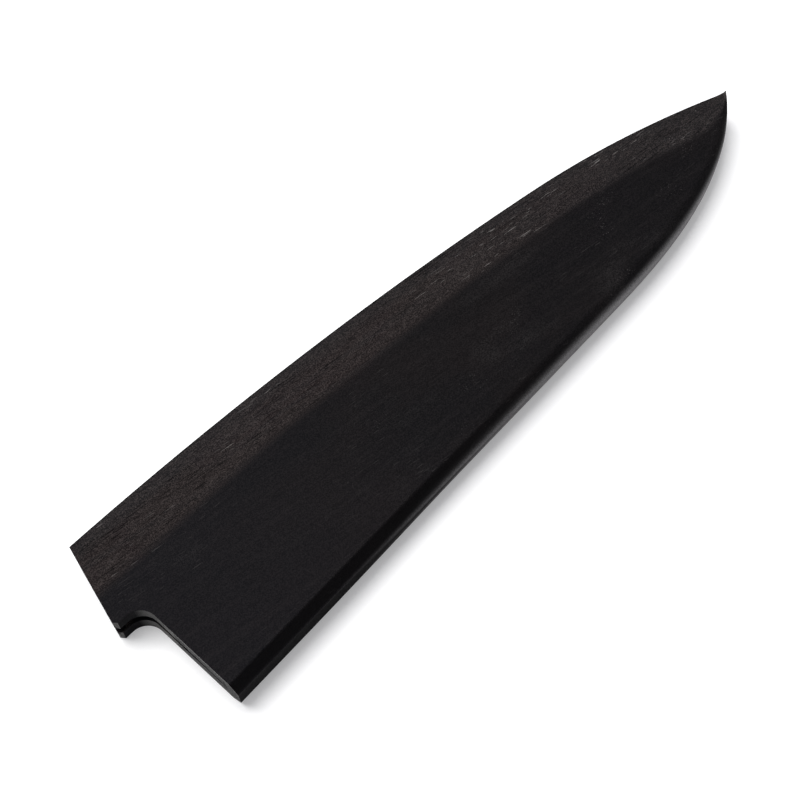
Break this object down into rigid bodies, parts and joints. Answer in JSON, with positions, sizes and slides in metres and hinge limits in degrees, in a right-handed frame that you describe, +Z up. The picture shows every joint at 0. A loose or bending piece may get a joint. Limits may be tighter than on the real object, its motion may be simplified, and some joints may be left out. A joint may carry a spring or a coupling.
{
  "type": "knife blade guard",
  "caption": "Slip-on wooden sheath for a chef's knife, in two glued halves with a blade-shaped pocket and a stepped mouth.",
  "frame": {"origin": "centre of the bounding box at the surface that the guard rests on", "axes": "+X from the mouth to the tip, +Y towards the back of the blade, +Z up from the rear face to the front face"},
  "size_m": [0.228, 0.0658, 0.013],
  "materials": {
    "stained_wood": "black stain, satin"
  },
  "bodies": {
    "root": {"front_half": "stained_wood", "rear_half": "stained_wood"}
  },
  "joints": []
}
